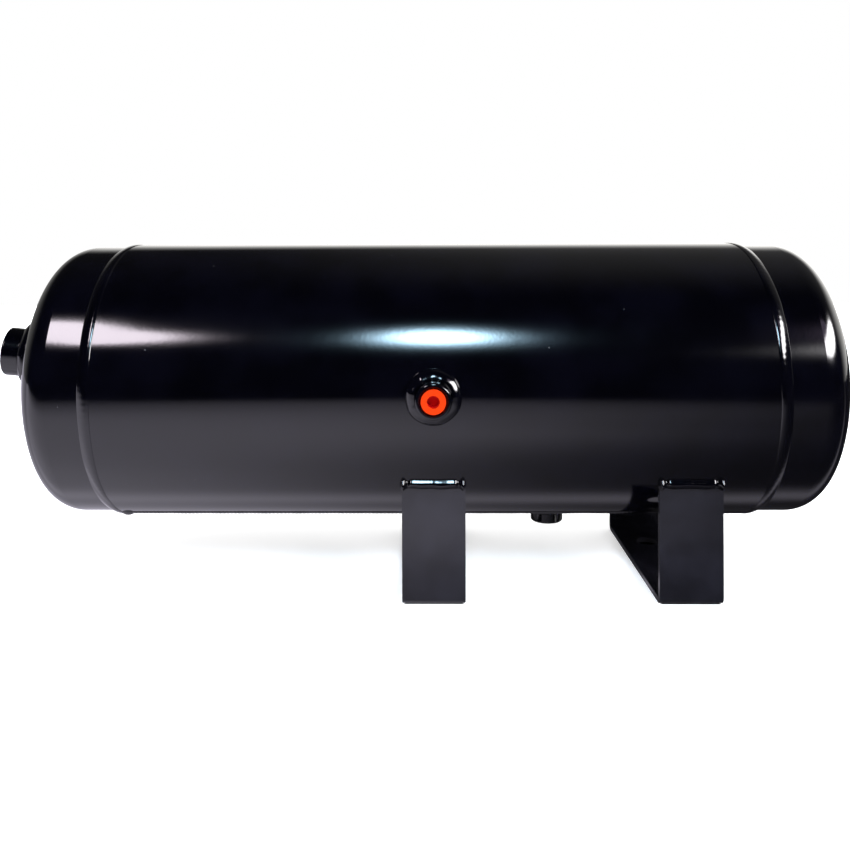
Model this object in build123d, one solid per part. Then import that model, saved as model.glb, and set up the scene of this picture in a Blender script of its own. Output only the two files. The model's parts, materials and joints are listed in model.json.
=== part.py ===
from build123d import *
import math
import os

# Horizontal air receiver: a rolled shell with two lapped dished heads, three welded
# pipe couplings and two strip-steel saddles. Millimetres, +Z up, +X along the vessel.
# The origin is the middle of the left foot's sole, below the vessel's mid-length.

# Vessel
shell_od = 165.0
shell_wall = 1.6
shell_length = 373.0  # between the two girth seams
axis_height = 117.2  # vessel axis above the soles
head_wall = 2.0
head_lap = 12.0  # flange that sits inside the shell
head_straight = 22.0  # flange that shows past the girth seam
crown_ratio = 0.872  # crown radius over the head's diameter
knuckle_ratio = 0.109  # knuckle radius over the head's diameter

# Seams
girth_bead_width = 8.0
girth_bead_rise = 1.0
seam_bead_width = 6.5
seam_bead_rise = 0.8
seam_angle = 23.0  # from six o'clock towards the front
seam_start_radius = 4.0
seam_start_rise = 1.6

# End port, a half coupling square to the left head's crown
end_port_od = 29.0
end_port_bore = 19.6
end_port_reach = 16.8  # from the crown's surface to the face
end_port_inside = 5.0  # below the crown's surface
end_port_front = 16.5  # offset from the vessel axis towards the front
end_port_up = 16.1  # offset above the vessel axis
end_weld_leg = 4.5  # along the head
end_weld_height = 5.0  # along the coupling

# Front port
front_port_od = 19.2
front_port_bore = 12.4
front_port_reach = 14.5  # past the shell's front line
front_port_inside = 4.0  # past the shell's inner line
front_port_drop = 0.0  # below the vessel axis
front_port_x = 0.0
front_weld_leg = 5.4
front_weld_height = 4.6

# Drain port
drain_port_od = 19.6
drain_port_bore = 12.4
drain_port_reach = 7.8  # below the shell's bottom line
drain_port_inside = 4.0
drain_weld_leg = 3.4
drain_weld_height = 2.8

# Coupling edges
mouth_chamfer = 1.5
rim_round = 1.2
inner_chamfer = 0.6

# Push-in plug of the front port
plug_clearance = 0.15  # radial, in the bore
plug_depth = 8.0  # shank below the port's face
plug_head_proud = 0.9
plug_head_sunk = 0.9  # head below the port's face, inside the mouth's chamfer
plug_head_overhang = 0.45  # head radius past the shank's radius
plug_cavity = 6.6
plug_cavity_depth = 7.0
plug_edge = 0.3

# Saddles
bracket_outer = 128.2
bracket_strip = 35.0
bracket_thickness = 3.0
bracket_bend = 1.0  # inner bend radius
left_bracket_x = 0.0
right_bracket_margin = 23.7  # strip's edge to the right girth bead
foot_hole = 14.0
foot_hole_spacing = 60.0
leg_weld_inset = 0.8  # at each end of a leg's weld
leg_weld_height = 4.6  # above the line where a leg's face meets the shell
leg_weld_drop = 1.2  # below that line, on the leg's face
leg_weld_crown = 1.3

# What the values above fix
shell_r = shell_od / 2
shell_ir = shell_r - shell_wall
seam_x = shell_length / 2
head_r = shell_ir
crown_r = 2 * head_r * crown_ratio
knuckle_r = 2 * head_r * knuckle_ratio
tangent_x = seam_x + head_straight
knuckle_y = head_r - knuckle_r
head_depth = crown_r - math.sqrt((crown_r - knuckle_r) ** 2 - knuckle_y**2)
crown_centre_x = tangent_x + head_depth - crown_r
bracket_inner = bracket_outer / 2 - bracket_thickness
right_bracket_x = seam_x - girth_bead_width / 2 - right_bracket_margin - bracket_strip / 2
drain_port_x = (left_bracket_x + right_bracket_x) / 2
saddle_drop = math.sqrt(shell_r**2 - (bracket_outer / 2) ** 2)
leg_top = axis_height - saddle_drop


def revolve_about_vessel(profile):
    """Turn a profile drawn as (x, radius) about the vessel axis."""
    return Pos(0, 0, axis_height) * revolve(profile, Axis.X)


def head_profile(inset):
    """Half section of a right-hand dished head, inset from its outer face."""
    outer = head_r - inset
    knuckle = knuckle_r - inset
    crown = crown_r - inset
    lean = math.atan2(knuckle_y, tangent_x - crown_centre_x)
    half = (lean + math.pi / 2) / 2
    start_x = seam_x - head_lap
    joint = (crown_centre_x + crown * math.cos(lean), crown * math.sin(lean))
    bend = (tangent_x + knuckle * math.cos(half), knuckle_y + knuckle * math.sin(half))
    dome = (crown_centre_x + crown * math.cos(lean / 2), crown * math.sin(lean / 2))
    edge = Line((start_x, 0), (start_x, outer))
    edge += Line((start_x, outer), (tangent_x, outer))
    edge += ThreePointArc((tangent_x, outer), bend, joint)
    edge += ThreePointArc(joint, dome, (crown_centre_x + crown, 0))
    edge += Line((crown_centre_x + crown, 0), (start_x, 0))
    return make_face(edge)


def head_body(inset=0.0):
    """Filled right-hand head, out to its outer face or to an inset of it."""
    return revolve_about_vessel(head_profile(inset))


def to_left(piece):
    """Mirror a right-hand piece to the vessel's left end."""
    return mirror(piece, Plane.YZ)


def end_port_plane():
    """Plane on the left crown at the end port, facing out of the head."""
    along = math.sqrt(crown_r**2 - end_port_front**2 - end_port_up**2)
    outward = Vector(-along, -end_port_front, end_port_up)
    centre = Vector(-crown_centre_x, 0, axis_height) + outward
    return Plane(origin=centre, x_dir=(0, 1, 0), z_dir=outward.normalized())


def front_port_plane():
    """Plane at the shell's front line, facing forwards."""
    centre = (front_port_x, -shell_r, axis_height - front_port_drop)
    return Plane(origin=centre, x_dir=(1, 0, 0), z_dir=(0, -1, 0))


def drain_port_plane():
    """Plane at the shell's bottom line, facing down."""
    centre = (drain_port_x, 0, axis_height - shell_r)
    return Plane(origin=centre, x_dir=(1, 0, 0), z_dir=(0, 0, -1))


def coupling(plane, od, bore, reach, inside):
    """Threaded half coupling with a chamfered mouth and a rounded rim."""
    span = reach + inside
    lift = (reach - inside) / 2
    body = Pos(0, 0, lift) * Cylinder(od / 2, span)
    body = fillet(body.edges().sort_by(Axis.Z)[-1], rim_round)
    body -= Pos(0, 0, lift) * Cylinder(bore / 2, 2 * span)
    mouth = body.edges().filter_by(GeomType.CIRCLE).group_by(Axis.Z)[-1]
    body = chamfer(mouth.sort_by(SortBy.RADIUS)[0], mouth_chamfer)
    tail = body.edges().filter_by(GeomType.CIRCLE).group_by(Axis.Z)[0]
    body = chamfer(tail, inner_chamfer)
    return plane * body


def plain_stub(plane, od, reach, inside):
    """Filled cylinder that a coupling takes up in the wall it passes."""
    lift = (reach - inside) / 2
    return plane * (Pos(0, 0, lift) * Cylinder(od / 2, reach + inside))


def fillet_weld(plane, od, leg, height, sink):
    """Convex fillet bead around a coupling, reaching below the wall it meets."""
    inner = od / 2
    outer = inner + leg
    middle = (inner + 0.58 * leg, 0.58 * height)
    edge = Line((inner, -sink), (inner, height))
    edge += ThreePointArc((inner, height), middle, (outer, 0))
    edge += Line((outer, 0), (outer, -sink))
    edge += Line((outer, -sink), (inner, -sink))
    profile = Plane.XZ * make_face(edge)
    return plane * revolve(profile, Axis.Z)


def vessel_cylinder(radius, length):
    return Pos(0, 0, axis_height) * Rot(0, 90, 0) * Cylinder(radius, length)


def shell_core():
    """Filled cylinder out to the shell's outer face."""
    return vessel_cylinder(shell_r, shell_length)


def front_stub():
    inside = shell_wall + front_port_inside
    return plain_stub(front_port_plane(), front_port_od, front_port_reach, inside)


def drain_stub():
    inside = shell_wall + drain_port_inside
    return plain_stub(drain_port_plane(), drain_port_od, drain_port_reach, inside)


def end_stub():
    return plain_stub(end_port_plane(), end_port_od, end_port_reach, end_port_inside)


def shell():
    bore = vessel_cylinder(shell_ir, 2 * shell_length)
    return shell_core() - bore - front_stub() - drain_stub()


def right_head():
    return head_body() - head_body(head_wall)


def left_head():
    return to_left(right_head()) - end_stub()


def right_girth_weld():
    """Bead over the shell's end edge, lying on the shell and on the head."""
    half = girth_bead_width / 2
    crest = (seam_x - half / 4, shell_r + girth_bead_rise)
    edge = ThreePointArc((seam_x - half, shell_r), crest, (seam_x + half, head_r))
    edge += Line((seam_x + half, head_r), (seam_x, head_r))
    edge += Line((seam_x, head_r), (seam_x, shell_r))
    edge += Line((seam_x, shell_r), (seam_x - half, shell_r))
    return revolve_about_vessel(make_face(edge))


def left_girth_weld():
    return to_left(right_girth_weld())


def seam_weld():
    """Bead along the shell, from one girth bead to the other."""
    half = seam_bead_width / 2
    drop = math.sqrt(shell_r**2 - half**2)
    left = (-half, -drop)
    right = (half, -drop)
    edge = ThreePointArc(left, (0, -shell_r - seam_bead_rise), right)
    edge += ThreePointArc(right, (0, -shell_r), left)
    length = shell_length - girth_bead_width
    bead = extrude(Plane.YZ * make_face(edge), length / 2, both=True)
    return Pos(0, 0, axis_height) * Rot(-seam_angle, 0, 0) * bead


def seam_start_weld():
    """Raised lump where the long seam starts, beside the left girth bead."""
    rise = seam_start_rise
    ball = (seam_start_radius**2 + rise**2) / (2 * rise)
    lump = Pos(0, 0, -(shell_r + rise - ball)) * Sphere(ball)
    start_x = -(seam_x - girth_bead_width / 2 - seam_start_radius / 2)
    lump = Pos(start_x, 0, axis_height) * Rot(-seam_angle, 0, 0) * lump
    below = vessel_cylinder(shell_r, 2 * shell_length)
    return lump - below - left_girth_weld() - seam_weld()


def end_port_coupling():
    plane = end_port_plane()
    return coupling(plane, end_port_od, end_port_bore, end_port_reach, end_port_inside)


def end_port_weld():
    sink = end_weld_height
    bead = fillet_weld(end_port_plane(), end_port_od, end_weld_leg, end_weld_height, sink)
    return bead - to_left(head_body())


def front_port_coupling():
    inside = shell_wall + front_port_inside
    plane = front_port_plane()
    return coupling(plane, front_port_od, front_port_bore, front_port_reach, inside)


def front_port_weld():
    sink = front_weld_height
    bead = fillet_weld(front_port_plane(), front_port_od, front_weld_leg, front_weld_height, sink)
    return bead - shell_core()


def drain_port_coupling():
    inside = shell_wall + drain_port_inside
    plane = drain_port_plane()
    return coupling(plane, drain_port_od, drain_port_bore, drain_port_reach, inside)


def drain_port_weld():
    sink = drain_weld_height
    bead = fillet_weld(drain_port_plane(), drain_port_od, drain_weld_leg, drain_weld_height, sink)
    return bead - shell_core()


def front_port_plug():
    """Hollow plastic plug, with a head that sits in the port's chamfered mouth."""
    shank_r = front_port_bore / 2 - plug_clearance
    head_radius = shank_r + plug_head_overhang
    shank = Pos(0, 0, -plug_depth / 2) * Cylinder(shank_r, plug_depth)
    shank = chamfer(shank.edges().sort_by(Axis.Z)[0], 3 * plug_edge)
    head_height = plug_head_proud + plug_head_sunk
    head_lift = (plug_head_proud - plug_head_sunk) / 2
    head = Pos(0, 0, head_lift) * Cylinder(head_radius, head_height)
    head = fillet(head.edges().sort_by(Axis.Z)[-1], plug_edge)
    cavity_span = plug_cavity_depth + plug_head_proud
    cavity_lift = plug_head_proud - cavity_span / 2
    body = shank + head - Pos(0, 0, cavity_lift) * Cylinder(plug_cavity / 2, cavity_span)
    face = front_port_plane().offset(front_port_reach)
    return face * body


def bracket(centre_x):
    """U of bent strip whose legs are cut to the shell."""
    height = leg_top
    outer = Pos(0, height / 2) * Rectangle(bracket_outer, height)
    outer = fillet(outer.vertices().group_by(Axis.Y)[0], bracket_bend + bracket_thickness)
    inner = Pos(0, height / 2 + bracket_thickness) * Rectangle(2 * bracket_inner, height)
    inner = fillet(inner.vertices().group_by(Axis.Y)[0], bracket_bend)
    strip = extrude(Plane.YZ * (outer - inner), bracket_strip / 2, both=True)
    for side in (-1, 1):
        hole = Cylinder(foot_hole / 2, 4 * bracket_thickness)
        strip -= Pos(0, side * foot_hole_spacing / 2, 0) * hole
    return Pos(centre_x, 0, 0) * strip - shell_core()


def leg_weld(centre_x, side):
    """Bead over the line where a leg's face meets the shell; side is -1 at the front."""
    face_y = bracket_outer / 2
    line = (face_y, -saddle_drop)
    heel = (face_y, -saddle_drop - leg_weld_drop)
    toe_z = leg_weld_height - saddle_drop
    toe = (math.sqrt(shell_r**2 - toe_z**2), toe_z)
    mid_angle = (math.atan2(line[1], line[0]) + math.atan2(toe[1], toe[0])) / 2
    on_shell = (shell_r * math.cos(mid_angle), shell_r * math.sin(mid_angle))
    slope = math.atan2(toe[1] - heel[1], toe[0] - heel[0])
    crown_y = (heel[0] + toe[0]) / 2 + leg_weld_crown * math.sin(slope)
    crown_z = (heel[1] + toe[1]) / 2 - leg_weld_crown * math.cos(slope)
    edge = Line(line, heel) + ThreePointArc(heel, (crown_y, crown_z), toe)
    edge += ThreePointArc(toe, on_shell, line)
    length = bracket_strip - 2 * leg_weld_inset
    bead = extrude(Plane.YZ * make_face(edge), length / 2, both=True)
    bead = Pos(centre_x, 0, axis_height) * bead
    return bead if side > 0 else mirror(bead, Plane.XZ)


nodes = {
    "shell": shell(),
    "left_head": left_head(),
    "right_head": right_head(),
    "left_girth_weld": left_girth_weld(),
    "right_girth_weld": right_girth_weld(),
    "seam_weld": seam_weld(),
    "seam_start_weld": seam_start_weld(),
    "end_port_coupling": end_port_coupling(),
    "end_port_weld": end_port_weld(),
    "front_port_coupling": front_port_coupling(),
    "front_port_weld": front_port_weld(),
    "front_port_plug": front_port_plug(),
    "drain_port_coupling": drain_port_coupling(),
    "drain_port_weld": drain_port_weld(),
    "left_bracket": bracket(left_bracket_x),
    "right_bracket": bracket(right_bracket_x),
    "left_bracket_front_weld": leg_weld(left_bracket_x, -1),
    "left_bracket_rear_weld": leg_weld(left_bracket_x, 1),
    "right_bracket_front_weld": leg_weld(right_bracket_x, -1),
    "right_bracket_rear_weld": leg_weld(right_bracket_x, 1),
}

os.makedirs("parts", exist_ok=True)
for name, piece in nodes.items():
    export_step(piece, f"parts/{name}.step")
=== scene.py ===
import bmesh
import bpy
import json
import math
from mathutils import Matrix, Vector, noise


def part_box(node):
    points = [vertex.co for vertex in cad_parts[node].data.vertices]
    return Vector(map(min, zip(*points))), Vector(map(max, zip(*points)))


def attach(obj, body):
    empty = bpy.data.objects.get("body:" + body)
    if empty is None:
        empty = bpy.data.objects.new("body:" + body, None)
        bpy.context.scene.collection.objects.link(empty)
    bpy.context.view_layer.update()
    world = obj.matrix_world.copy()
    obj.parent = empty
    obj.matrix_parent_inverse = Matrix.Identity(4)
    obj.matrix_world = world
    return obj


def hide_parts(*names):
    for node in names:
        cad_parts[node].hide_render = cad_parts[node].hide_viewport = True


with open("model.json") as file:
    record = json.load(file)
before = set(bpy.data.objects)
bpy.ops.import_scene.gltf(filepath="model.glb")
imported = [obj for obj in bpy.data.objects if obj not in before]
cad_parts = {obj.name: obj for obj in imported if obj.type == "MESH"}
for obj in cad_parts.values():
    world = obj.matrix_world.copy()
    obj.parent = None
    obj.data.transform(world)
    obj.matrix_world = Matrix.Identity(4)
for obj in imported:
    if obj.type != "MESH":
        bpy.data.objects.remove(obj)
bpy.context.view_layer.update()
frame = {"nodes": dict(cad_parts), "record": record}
nodes = frame["nodes"]
scene = bpy.context.scene


# ---------------------------------------------------------------- what the frame says
def span(node):
    """Lowest corner, highest corner and middle of a node's box."""
    lo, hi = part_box(node)
    lo, hi = Vector(lo), Vector(hi)
    return lo, hi, (lo + hi) / 2


shell_lo, shell_hi, shell_mid = span("shell")
shell_r = (shell_hi.y - shell_lo.y) / 2
axis_z = shell_mid.z


# ---------------------------------------------------------------- camera
CAMERA_DISTANCE = 6.2271  # in front of the vessel's axis, in shell radii
CAMERA_RISE = 0.8739  # above the vessel's axis, in shell radii
CAMERA_ROLL = 0.0034
CAMERA_TURN = 0.0116


def make_camera():
    """Nearly level camera in front of the object, framed by lens shift."""
    data = bpy.data.cameras.new("camera")
    cam = bpy.data.objects.new("camera", data)
    scene.collection.objects.link(cam)
    distance = CAMERA_DISTANCE * shell_r
    rise = CAMERA_RISE * shell_r
    cam.location = (0.0, -distance, axis_z + rise)
    cam.rotation_euler = (math.radians(90.0), CAMERA_ROLL, CAMERA_TURN)
    data.sensor_width = 36.0
    data.lens = 34.63
    data.shift_x = 0.00195
    data.shift_y = -0.1932
    data.clip_start = 0.01
    scene.camera = cam


make_camera()


# ---------------------------------------------------------------- node helpers
class Tree:
    """Short calls that add nodes to a node tree and link them."""

    def __init__(self, tree):
        self.tree = tree
        self.nodes = tree.nodes

    def add(self, kind, **settings):
        node = self.nodes.new(kind)
        for key, value in settings.items():
            setattr(node, key, value)
        return node

    def link(self, source, socket):
        self.tree.links.new(source, socket)

    def feed(self, socket, value):
        if hasattr(value, "is_output"):
            self.link(value, socket)
        elif value is not None:
            socket.default_value = value

    def math(self, operation, a, b=None, c=None):
        node = self.add("ShaderNodeMath", operation=operation)
        for socket, value in zip(node.inputs, (a, b, c)):
            self.feed(socket, value)
        return node.outputs[0]

    def step(self, value, low, high, first=0.0, last=1.0):
        """Smooth step of a value from first at low to last at high."""
        node = self.add("ShaderNodeMapRange", interpolation_type="SMOOTHSTEP")
        for socket, item in zip(node.inputs, (value, low, high, first, last)):
            self.feed(socket, item)
        return node.outputs[0]

    def mix(self, factor, a, b):
        node = self.add("ShaderNodeMix", data_type="RGBA")
        self.feed(node.inputs[0], factor)
        self.feed(node.inputs[6], a)
        self.feed(node.inputs[7], b)
        return node.outputs[2]

    def scale(self, colour, amount):
        """A colour times a number."""
        node = self.add("ShaderNodeVectorMath", operation="SCALE")
        self.feed(node.inputs[0], colour)
        self.feed(node.inputs["Scale"], amount)
        return node.outputs[0]

    def plus(self, a, b):
        node = self.add("ShaderNodeVectorMath", operation="ADD")
        self.feed(node.inputs[0], a)
        self.feed(node.inputs[1], b)
        return node.outputs[0]

    def noise(self, vector, size, detail=2.0):
        """Noise whose features measure about size metres."""
        node = self.add("ShaderNodeTexNoise")
        self.link(vector, node.inputs["Vector"])
        node.inputs["Scale"].default_value = 1.0 / size
        node.inputs["Detail"].default_value = detail
        node.inputs["Roughness"].default_value = 0.5
        return node.outputs["Fac"]

    def specks(self, vector, spacing, radius):
        """One where a sparse round speck lies, zero elsewhere."""
        node = self.add("ShaderNodeTexVoronoi")
        self.link(vector, node.inputs["Vector"])
        node.inputs["Scale"].default_value = 1.0 / spacing
        return self.step(node.outputs["Distance"], radius / spacing, 0.4 * radius / spacing)

    def bump(self, height, distance):
        """Normal of a surface raised by height times distance, in metres."""
        node = self.add("ShaderNodeBump")
        node.inputs["Strength"].default_value = 1.0
        node.inputs["Distance"].default_value = distance
        self.link(height, node.inputs["Height"])
        return node.outputs[0]


def material(name):
    """New material, its Tree, its shader and the object coordinates in metres."""
    mat = bpy.data.materials.new(name)
    mat.use_nodes = True
    tree = Tree(mat.node_tree)
    shader = tree.nodes["Principled BSDF"]
    place = tree.add("ShaderNodeTexCoord").outputs["Object"]
    return mat, tree, shader, place


# ---------------------------------------------------------------- light
ROOM_LEVEL = 0.003
LILAC = (1.0, 0.90, 1.0)
TEAL = (0.52, 0.80, 1.0)
NEUTRAL = (1.0, 0.98, 1.0)
VIOLET = (0.85, 0.70, 1.0)
# Azimuth and its width, elevation and its width, tilt, lowest elevation, level, cap, colour.
SOFT_BOXES = (
    (-31.0, 3.7, 38.9, 2.5, 0.74, 36.2, 250.0, 21.5, LILAC),
    (0.5, 2.8, 38.9, 3.65, 0.0, 0.0, 120.0, 55.0, TEAL),
    (0.5, 4.6, 39.0, 5.8, 0.0, 0.0, 2.2, 2.2, TEAL),
    (56.5, 7.7, 26.3, 2.75, -0.08, 0.0, 2500.0, 26.0, NEUTRAL),
    (45.0, 4.6, 31.0, 4.5, 0.0, 0.0, 60.0, 1.2, VIOLET),
)


def make_room():
    """White backdrop, even light all round, and a wall and soft boxes that only gloss sees."""
    world = bpy.data.worlds.new("studio")
    scene.world = world
    world.use_nodes = True
    tree = Tree(world.node_tree)
    backdrop = tree.nodes["Background"]
    direction = tree.add("ShaderNodeTexCoord").outputs["Generated"]
    split = tree.add("ShaderNodeSeparateXYZ")
    tree.link(direction, split.inputs[0])
    x, y, z = split.outputs
    front = tree.math("MULTIPLY", y, -1.0)
    azimuth = tree.math("MULTIPLY", tree.math("ARCTAN2", x, front), 180.0 / math.pi)
    rise = tree.math("MULTIPLY", tree.math("ARCSINE", z), 180.0 / math.pi)

    def bell(value, middle, width):
        """Square of the distance from the middle, in widths."""
        away = tree.math("DIVIDE", tree.math("SUBTRACT", value, middle), width)
        return tree.math("MULTIPLY", away, away)

    def soft_box(place, width, middle, height, tilt, lowest, level, cap, colour):
        """Lamp that fades outward as a bell and is flat at its cap; degrees."""
        lean = tree.math("MULTIPLY_ADD", tree.math("SUBTRACT", place, azimuth), tilt, middle)
        lean = tree.math("MAXIMUM", lean, lowest)
        away = tree.math("ADD", bell(azimuth, place, width), bell(rise, lean, height))
        fade = tree.math("EXPONENT", tree.math("MULTIPLY", away, -0.5))
        shape = tree.math("MULTIPLY", fade, level)
        return tree.scale(colour, tree.math("MINIMUM", shape, cap))

    behind = tree.step(y, -0.15, 0.35)
    white_wall = tree.step(x, -0.55, -0.25, 0.30, 1.5)
    top = tree.step(rise, 14.0, 34.0, 1.0, 0.0)
    wall = tree.math("MULTIPLY", tree.math("MULTIPLY", behind, white_wall), top)
    ceiling = tree.math("MULTIPLY", tree.step(y, -0.30, 0.45), tree.step(x, -0.3, 0.2, 0.02, 0.14))
    room = tree.math("ADD", wall, tree.math("ADD", ceiling, ROOM_LEVEL))
    light = tree.scale((1.0, 0.985, 0.955), room)
    for lamp in SOFT_BOXES:
        light = tree.plus(light, soft_box(*lamp))
    tree.link(light, backdrop.inputs["Color"])
    white = tree.add("ShaderNodeBackground")
    white.inputs["Color"].default_value = (1.0, 1.0, 1.0, 1.0)
    path = tree.add("ShaderNodeLightPath")
    even = tree.add("ShaderNodeBackground")
    even.inputs["Color"].default_value = (0.9, 0.9, 0.9, 1.0)
    surface = backdrop.outputs[0]
    for ray, seen in (("Is Diffuse Ray", even), ("Is Camera Ray", white)):
        both = tree.add("ShaderNodeMixShader")
        tree.link(path.outputs[ray], both.inputs[0])
        tree.link(surface, both.inputs[1])
        tree.link(seen.outputs[0], both.inputs[2])
        surface = both.outputs[0]
    tree.link(surface, tree.nodes["World Output"].inputs["Surface"])


def under_soles(tree, x, y):
    """One on the table below the two brackets' soles, where no light comes, zero elsewhere."""
    dark = 0.0
    for node in ("left_bracket", "right_bracket"):
        lo, hi, mid = span(node)
        aside = tree.math("ABSOLUTE", tree.math("SUBTRACT", x, mid.x))
        along = tree.math("ABSOLUTE", tree.math("SUBTRACT", y, mid.y))
        edge = 0.002
        inside = tree.step(aside, (hi.x - lo.x) / 2 - edge, (hi.x - lo.x) / 2, 1.0, 0.0)
        inside = tree.math("MULTIPLY", inside, tree.step(along, hi.y - edge, hi.y, 1.0, 0.0))
        dark = tree.math("MAXIMUM", dark, inside)
    return dark


def make_floor():
    """Pale table. Gloss sees it as a glow that falls from left to right and fades in front."""
    mesh = bpy.data.meshes.new("floor")
    half_x, back, front = 2.6, 3.0, -0.86
    corners = [(-half_x, front), (half_x, front), (half_x, back), (-half_x, back)]
    mesh.from_pydata([(x, y, 0.0) for x, y in corners], [], [(0, 1, 2, 3)])
    floor = bpy.data.objects.new("floor", mesh)
    scene.collection.objects.link(floor)
    mat, tree, shader, place = material("floor_white")
    split = tree.add("ShaderNodeSeparateXYZ")
    tree.link(place, split.inputs[0])
    x = split.outputs[0]
    ahead = tree.math("MULTIPLY", split.outputs[1], -1.0)
    aside = tree.math("MINIMUM", tree.math("ABSOLUTE", x), 0.6)
    reach = tree.math("MULTIPLY_ADD", aside, 0.3, ahead)
    edge = tree.step(reach, 0.35, 0.85, 1.0, 0.0)
    near = tree.step(ahead, 0.07, 0.21, -0.06, 0.10)
    far = tree.step(ahead, 0.21, 0.50, 0.0, 0.10)
    turn = tree.math("SUBTRACT", tree.math("ADD", near, far), x)
    width = tree.step(ahead, 0.18, 0.45, 0.072, 0.14)
    pool = tree.math("DIVIDE", turn, width)
    falling = tree.math("EXPONENT", tree.math("MULTIPLY", pool, -1.0))
    pool = tree.math("DIVIDE", 1.0, tree.math("ADD", 1.0, falling))
    pool = tree.math("MULTIPLY", pool, tree.step(ahead, 0.2, 0.45, 1.45, 1.05))
    # Painted reflection under the tank: a bright strip on the table 34 mm in front of the axis, seen only by
    # gloss.
    under = tree.math("DIVIDE", tree.math("SUBTRACT", ahead, 0.034), 0.014)
    under = tree.math("EXPONENT", tree.math("MULTIPLY", tree.math("MULTIPLY", under, under), -1.0))
    under = tree.math("MULTIPLY_ADD", under, 0.40, 0.02)
    # Painted shade: the reflected glow is halved from 10 mm in front of the axis backwards, rising to full by
    # 90 mm in front.
    pool = tree.math("MULTIPLY", pool, tree.step(ahead, 0.01, 0.09, 0.5, 1.0))
    glow = tree.math("ADD", tree.math("MULTIPLY", pool, edge), under)
    reflected = tree.add("ShaderNodeEmission")
    tree.link(tree.scale((1.0, 0.955, 1.12), glow), reflected.inputs["Color"])
    path = tree.add("ShaderNodeLightPath")
    both = tree.add("ShaderNodeMixShader")
    tree.link(path.outputs["Is Glossy Ray"], both.inputs[0])
    tree.link(shader.outputs[0], both.inputs[1])
    tree.link(reflected.outputs[0], both.inputs[2])
    tree.link(both.outputs[0], tree.nodes["Material Output"].inputs["Surface"])
    shade = tree.math("SUBTRACT", 1.0, under_soles(tree, x, split.outputs[1]))
    tree.link(tree.scale((0.93, 0.93, 0.93), shade), shader.inputs["Base Color"])
    shader.inputs["Emission Color"].default_value = (1.0, 1.0, 1.0, 1.0)
    tree.link(tree.math("MULTIPLY", shade, 0.45), shader.inputs["Emission Strength"])
    shader.inputs["Roughness"].default_value = 0.9
    shader.inputs["Specular IOR Level"].default_value = 0.0
    mesh.materials.append(mat)


def make_lamp(name, place, aim, size, power):
    """Large soft lamp that stays out of the reflections and out of view."""
    data = bpy.data.lights.new(name, "AREA")
    data.shape = "RECTANGLE"
    data.size, data.size_y = size
    data.energy = power
    lamp = bpy.data.objects.new(name, data)
    scene.collection.objects.link(lamp)
    lamp.location = place
    lamp.rotation_euler = (Vector(place) - Vector(aim)).to_track_quat("Z", "Y").to_euler()
    lamp.visible_glossy = False
    lamp.visible_camera = False


make_room()
make_floor()
make_lamp("overhead", (0.0, 0.2, 2.6), (0.0, 0.2, 0.0), (4.5, 4.5), 60.0)


# ---------------------------------------------------------------- paints
def gloss_paint(name, peel=1.0, weld=0.0, dusty=1.0, tint=(0.0003, 0.0003, 0.0008)):
    """Gloss black paint with orange peel, dust nibs, and a welded surface under it."""
    mat, tree, shader, place = material(name)
    cloud = tree.noise(place, 0.03, 3.0)
    dust = tree.math("MULTIPLY", tree.specks(place, 0.011, 0.00045), tree.step(cloud, 0.50, 0.58, 0.0, dusty))
    deeper = tuple(2.2 * part for part in tint) + (1.0,)
    base = tree.mix(tree.step(cloud, 0.35, 0.7), tint + (1.0,), deeper)
    tree.link(tree.mix(tree.math("MULTIPLY", dust, 0.5), base, (0.04, 0.04, 0.045, 1.0)),
              shader.inputs["Base Color"])
    rough = tree.math("MULTIPLY_ADD", cloud, 0.05, 0.055)
    tree.link(tree.math("MULTIPLY_ADD", dust, 0.2, rough), shader.inputs["Roughness"])
    height = tree.math("MULTIPLY", tree.noise(place, 0.0020, 1.0), 0.000007 * peel)
    wave = tree.noise(place, 0.012, 1.5)
    height = tree.math("MULTIPLY_ADD", wave, 0.000014 * peel, height)
    height = tree.math("MULTIPLY_ADD", dust, 0.00006, height)
    if weld:
        height = tree.math("MULTIPLY_ADD", tree.noise(place, 0.0035, 3.0), 0.00025 * weld, height)
    tree.link(tree.bump(height, 1.0), shader.inputs["Normal"])
    shader.inputs["IOR"].default_value = 1.5
    return mat


def plug_plastic():
    """Soft orange moulded plastic, with a redder red painted deep in its recess as the recess's light and
    shade.
    """
    mat, tree, shader, place = material("plug_orange")
    mottle = tree.noise(place, 0.004, 3.0)
    orange = tree.mix(mottle, (0.40, 0.021, 0.0013, 1.0), (0.46, 0.025, 0.0020, 1.0))
    local = nodes["front_port_plug"].matrix_world.inverted()
    face_y = (local @ Vector((0.0, span("front_port_plug")[0].y, 0.0))).y
    split = tree.add("ShaderNodeSeparateXYZ")
    tree.link(place, split.inputs[0])
    # Painted light and shade: from 0.8 to 3.5 mm below the plug's face the orange turns to a redder red,
    # standing in for the light and shade inside the recess.
    depth = tree.math("SUBTRACT", split.outputs[1], face_y)
    tree.link(tree.mix(tree.step(depth, 0.0008, 0.0035), orange, (0.62, 0.006, 0.008, 1.0)),
              shader.inputs["Base Color"])
    rough = tree.math("MULTIPLY_ADD", tree.noise(place, 0.0015, 3.0), 0.15, 0.42)
    tree.link(rough, shader.inputs["Roughness"])
    tree.link(tree.bump(tree.noise(place, 0.0008, 2.0), 0.00002), shader.inputs["Normal"])
    shader.inputs["Specular IOR Level"].default_value = 0.03
    return mat


def dress(obj, mat):
    obj.data.materials.clear()
    obj.data.materials.append(mat)


vessel_paint = gloss_paint("vessel_paint")
port_paint = gloss_paint("port_paint", peel=1.4)
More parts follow.
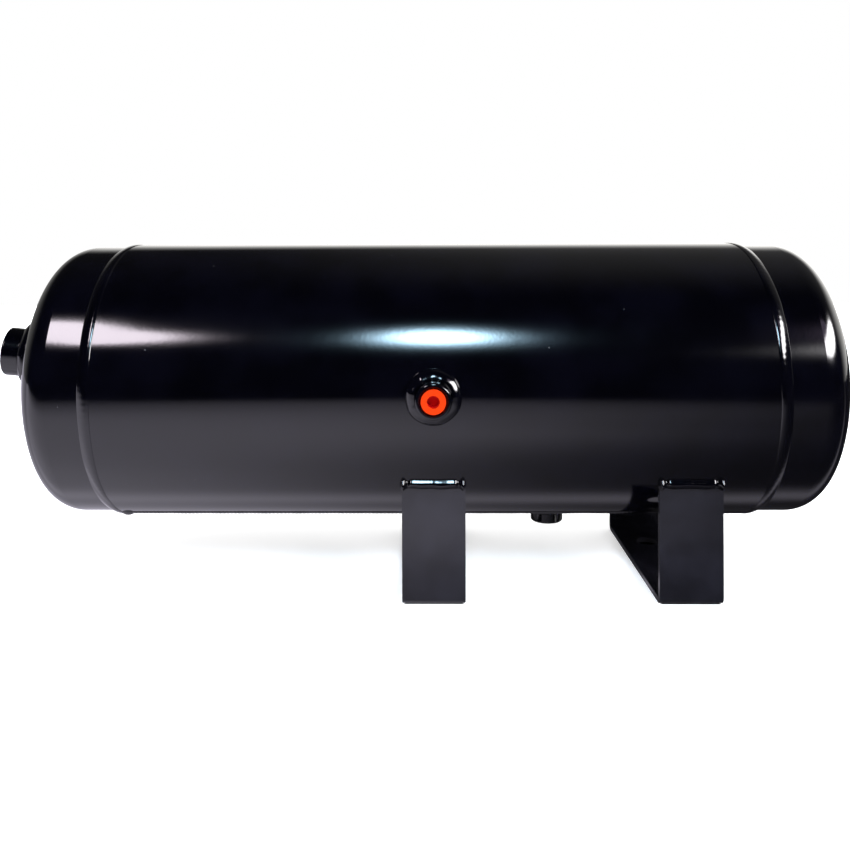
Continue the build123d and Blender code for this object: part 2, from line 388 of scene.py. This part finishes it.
# The brackets wear the vessel's same gloss black; their lighter tint is painted light that stands in for the
# lighter grey of their flat faces.
bracket_paint = gloss_paint("bracket_paint", peel=0.9, tint=(0.0030, 0.0030, 0.0044))
weld_paint = gloss_paint("weld_paint", peel=1.3, weld=0.06, dusty=0.0)
plug_orange = plug_plastic()

SLOT_LOOKS = {
    "vessel_paint": vessel_paint,
    "weld_paint": weld_paint,
    "port_paint": port_paint,
    "bracket_paint": bracket_paint,
    "plug_plastic": plug_orange,
}
for row in frame["record"]["subparts"]:
    dress(nodes[row["node"]], SLOT_LOOKS[row["material_slot"]])


# ---------------------------------------------------------------- pieces
def loft(name, rows, ring, mat, body="tank", stands_for=()):
    """Closed skin over rows of points; a ring joins the last row to the first."""
    count = len(rows[0])
    points = [point for row in rows for point in row]
    faces = []
    for r in range(len(rows) if ring else len(rows) - 1):
        a, b = r * count, (r + 1) % len(rows) * count
        for c in range(count):
            d = (c + 1) % count
            faces.append((a + c, a + d, b + d, b + c))
    if not ring:
        faces.append(tuple(range(count - 1, -1, -1)))
        faces.append(tuple(range(len(points) - count, len(points))))
    mesh = bpy.data.meshes.new(name)
    mesh.from_pydata(points, [], faces)
    shape = bmesh.new()
    shape.from_mesh(mesh)
    bmesh.ops.recalc_face_normals(shape, faces=shape.faces)
    shape.to_mesh(mesh)
    shape.free()
    mesh.shade_smooth()
    mesh.materials.append(mat)
    piece = bpy.data.objects.new(name, mesh)
    scene.collection.objects.link(piece)
    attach(piece, body)
    if stands_for:
        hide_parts(*stands_for)
    return piece


def wobble(along, seed, size):
    """Smooth noise from -1 to 1 along a length; size is its feature's length."""
    return noise.noise(Vector((along / size, seed * 7.31, seed * 1.7)))


def around(angle, seed, lumps):
    """Noise from -1 to 1 that closes on itself after a full turn."""
    reach = lumps / 6.0
    return noise.noise(Vector((reach * math.cos(angle), reach * math.sin(angle), seed * 5.13)))


def bead_height(u, flat):
    """Height from 0 to 1 of a bead's section at u from -1 to 1."""
    return max(0.0, 1.0 - abs(u) ** flat)


def girth_weld(node, head, side, seed):
    """Painted bead round a head's joint, with the ripple of the weld in it."""
    lo, hi, mid = span(node)
    head_lo, head_hi, _ = span(head)
    head_r = (head_hi.y - head_lo.y) / 2
    half = (hi.x - lo.x) / 2
    rise = (hi.y - lo.y) / 2 - shell_r
    turns, across = 720, 17
    rows = []
    for t in range(turns):
        angle = math.tau * t / turns
        tall = rise * (0.90 + 0.06 * around(angle, seed, 30) + 0.015 * math.sin(angle * 150))
        wide = half * (0.94 + 0.05 * around(angle, seed + 3, 50))
        drift = 0.0003 * around(angle, seed + 5, 14)
        row = []
        for k in range(across):
            u = -1.0 + 2.0 * k / (across - 1)
            toward = (1.0 - u * side) / 2
            base = head_r + (shell_r - head_r) * toward**2 * (3.0 - 2.0 * toward)
            radius = base + tall * (1.0 - u * u) - (0.0003 if abs(u) == 1 else 0.0)
            x = mid.x + drift + wide * u
            row.append((x, radius * math.cos(angle), axis_z + radius * math.sin(angle)))
        for x in (mid.x + half / 2, mid.x - half / 2):
            inner = head_r - 0.0005
            row.append((x, inner * math.cos(angle), axis_z + inner * math.sin(angle)))
        rows.append(row)
    loft(node + "_bead", rows, True, weld_paint, stands_for=(node,))


girth_weld("left_girth_weld", "left_head", -1, 1)
girth_weld("right_girth_weld", "right_head", 1, 2)


SEAM_HALF_WIDTH = 0.00325
SEAM_RISE = 0.0008


def seam_weld():
    """Long painted bead, low on the front of the shell."""
    lo, hi, mid = span("seam_weld")
    out = Vector((0.0, mid.y, mid.z - axis_z)).normalized()
    along = Vector((0.0, -out.z, out.y))
    steps, across = 900, 11
    rows = []
    for s in range(steps + 1):
        x = lo.x + (hi.x - lo.x) * s / steps
        tall = SEAM_RISE * (0.85 + 0.15 * wobble(x, 4, 0.008) + 0.06 * math.sin(x / 0.00036))
        wide = SEAM_HALF_WIDTH * (0.92 + 0.08 * wobble(x, 5, 0.006))
        drift = 0.0004 * wobble(x, 6, 0.03)
        row = []
        for k in range(across):
            u = -1.0 + 2.0 * k / (across - 1)
            side = drift + wide * u
            surface = math.sqrt(shell_r**2 - side**2)
            radius = surface + tall * bead_height(u, 2.4) - (0.0003 if abs(u) == 1 else 0.0)
            row.append(Vector((x, 0.0, axis_z)) + out * radius + along * side)
        for side in (wide / 2, -wide / 2):
            row.append(Vector((x, 0.0, axis_z)) + out * (shell_r - 0.0006) + along * side)
        rows.append(row)
    loft("seam_weld_bead", rows, False, weld_paint, stands_for=("seam_weld",))


seam_weld()


# Outward and upward places of the bead's skin, from the line where leg and shell meet.
LEG_WELD_SECTION = (
    (0.0, -0.0012), (0.0018, -0.0010), (0.0033, -0.0001), (0.0041, 0.0010),
    (0.0042, 0.0018), (0.0036, 0.0030), (0.0030, 0.0041), (0.0028, 0.0048),
)


def leg_weld(node, bracket, side, seed):
    """Uneven bead over a leg's top, with a heavier blob at each corner of the strip."""
    leg_lo, leg_hi, _ = span(bracket)
    face = leg_hi.y
    top = -math.sqrt(shell_r**2 - face**2)
    inside = Vector((face - 0.0012, top + 0.0012))
    start, end = leg_lo.x - 0.0013, leg_hi.x + 0.0006
    steps = 180
    rows = []
    for s in range(steps + 1):
        x = start + (end - start) * s / steps
        edge = min(x - start, end - x)
        cap = math.sqrt(max(0.0, 1.0 - max(0.0, 1.0 - edge / 0.0017) ** 2))
        blob = math.exp(-((edge - 0.0020) / 0.0013) ** 2)
        neck = math.exp(-((edge - 0.0045) / 0.0011) ** 2)
        fat = 1.0 + 0.06 * wobble(x, seed, 0.009) + 0.012 * wobble(x, seed + 1, 0.002)
        fat += 0.30 * blob - 0.28 * neck
        sag = 0.0007 * wobble(x, seed + 2, 0.008) - 0.0010 * blob
        row = []
        for out, up in LEG_WELD_SECTION:
            share = 1.0 if up < 0.002 else 0.4
            bulge = Vector((out * fat, up * (0.9 + 0.1 * fat) + sag * share))
            point = Vector((face, top)) + bulge
            row.append(inside + (point - inside) * max(cap, 0.02))
        row.append(inside)
        rows.append([(x, side * point.x, axis_z + point.y) for point in row])
    loft(node + "_bead", rows, False, weld_paint, stands_for=(node,))


for order, which in enumerate(("left", "right")):
    leg_weld(which + "_bracket_front_weld", which + "_bracket", -1, 11 + 10 * order)
    leg_weld(which + "_bracket_rear_weld", which + "_bracket", 1, 16 + 10 * order)


def mount(name):
    """Place, outward axis and bore radius of one of the record's ports, in metres."""
    for row in frame["record"]["mounts"]:
        if row["name"] == name:
            return Vector(row["pos_m"]), Vector(row["axis"]).normalized(), row["dims"]["r_mm"] / 1000


def cylinder_dip(side):
    """How far the shell falls away at a sideways distance from a port's axis."""
    return shell_r - math.sqrt(shell_r**2 - side**2)


def port_weld(node, foot, axis, across, outer, leg, height, dip, seed):
    """Uneven fillet bead round a coupling."""
    up = axis.cross(across).normalized()
    turns, count = 360, 12
    rows = []
    for t in range(turns):
        angle = math.tau * t / turns
        way = across * math.cos(angle) + up * math.sin(angle)
        lump = around(angle, seed + 1, 12) + 0.25 * around(angle, seed, 30)
        wide = leg * (1.0 + 0.05 * lump)
        tall = height * (1.0 + 0.08 * around(angle, seed + 2, 14))
        row = []
        for k in range(count):
            turn = math.pi / 2 * (1.0 - k / (count - 1))
            swell = 1.0 + 0.06 * lump * math.sin(2 * turn)
            radius = outer + wide * swell * math.cos(turn)
            lift = tall * swell * math.sin(turn)
            side = radius * (math.sin(angle) if dip is cylinder_dip else 1.0)
            row.append(foot + way * radius + axis * (lift - dip(side)))
        sunk = outer + 0.4 * wide
        side = sunk * (math.sin(angle) if dip is cylinder_dip else 1.0)
        row.append(foot + way * sunk - axis * (dip(side) + 0.0006))
        row.append(foot + way * (outer - 0.0004) - axis * (dip(side) - 0.0004))
        rows.append(row)
    loft(node + "_bead", rows, True, weld_paint, stands_for=(node,))


front_lo, front_hi, front_mid = span("front_port_coupling")
front_r = (front_hi.x - front_lo.x) / 2
front_foot = Vector((front_mid.x, -shell_r, front_mid.z))
port_weld("front_port_weld", front_foot, Vector((0, -1, 0)), Vector((1, 0, 0)),
          front_r, leg=0.0056, height=0.0046, dip=cylinder_dip, seed=31)
drain_lo, drain_hi, drain_mid = span("drain_port_coupling")
drain_r = (drain_hi.x - drain_lo.x) / 2
drain_foot = Vector((drain_mid.x, 0.0, axis_z - shell_r))
port_weld("drain_port_weld", drain_foot, Vector((0, 0, -1)), Vector((1, 0, 0)),
          drain_r, leg=0.0031, height=0.0026, dip=cylinder_dip, seed=35)
end_place, end_axis, end_bore_r = mount("end_port")
crown_centre = end_place - end_axis * (end_place.y / end_axis.y)
crown_r = crown_centre.x - span("left_head")[0].x
END_PORT_OD = 0.029  # outside of the end coupling


def crown_dip(side):
    """How far the head's crown falls away at a distance from a port's axis."""
    return crown_r - math.sqrt(crown_r**2 - side**2)


end_across = end_axis.cross(Vector((0, 0, 1))).normalized()
port_weld("end_port_weld", crown_centre + end_axis * crown_r, end_axis, end_across,
          END_PORT_OD / 2, leg=0.0062, height=0.0078, dip=crown_dip, seed=39)


def thread(name, start, axis, bore_r, pitch, length):
    """Ridge of a pipe thread inside a coupling's bore, running in from start."""
    across = axis.orthogonal().normalized()
    up = axis.cross(across)
    depth = 0.55 * pitch
    steps = round(72 * length / pitch)
    rows = []
    for s in range(steps + 1):
        angle = math.tau * s / 72
        fade = min(1.0, s / 40, (steps - s) / 40)
        way = across * math.cos(angle) + up * math.sin(angle)
        middle = start - axis * (pitch * s / 72)
        crest = bore_r - depth * max(fade, 0.05)
        row = [middle + way * (bore_r + 0.0003) - axis * (0.46 * pitch)]
        row.append(middle + way * crest - axis * (0.06 * pitch))
        row.append(middle + way * crest + axis * (0.06 * pitch))
        row.append(middle + way * (bore_r + 0.0003) + axis * (0.46 * pitch))
        rows.append(row)
    loft(name, rows, False, port_paint)


HALF_INCH_PITCH = 0.001814
QUARTER_INCH_PITCH = 0.001411
end_mouth = end_place + end_axis * 0.0085
thread("end_port_thread", end_mouth, end_axis, end_bore_r, HALF_INCH_PITCH, length=0.0165)
_, drain_axis, drain_bore_r = mount("drain_port")
drain_mouth = Vector((drain_mid.x, 0.0, drain_lo.z + 0.0020))
thread("drain_port_thread", drain_mouth, drain_axis, drain_bore_r, QUARTER_INCH_PITCH, length=0.0095)

scene.view_settings.view_transform = "Standard"
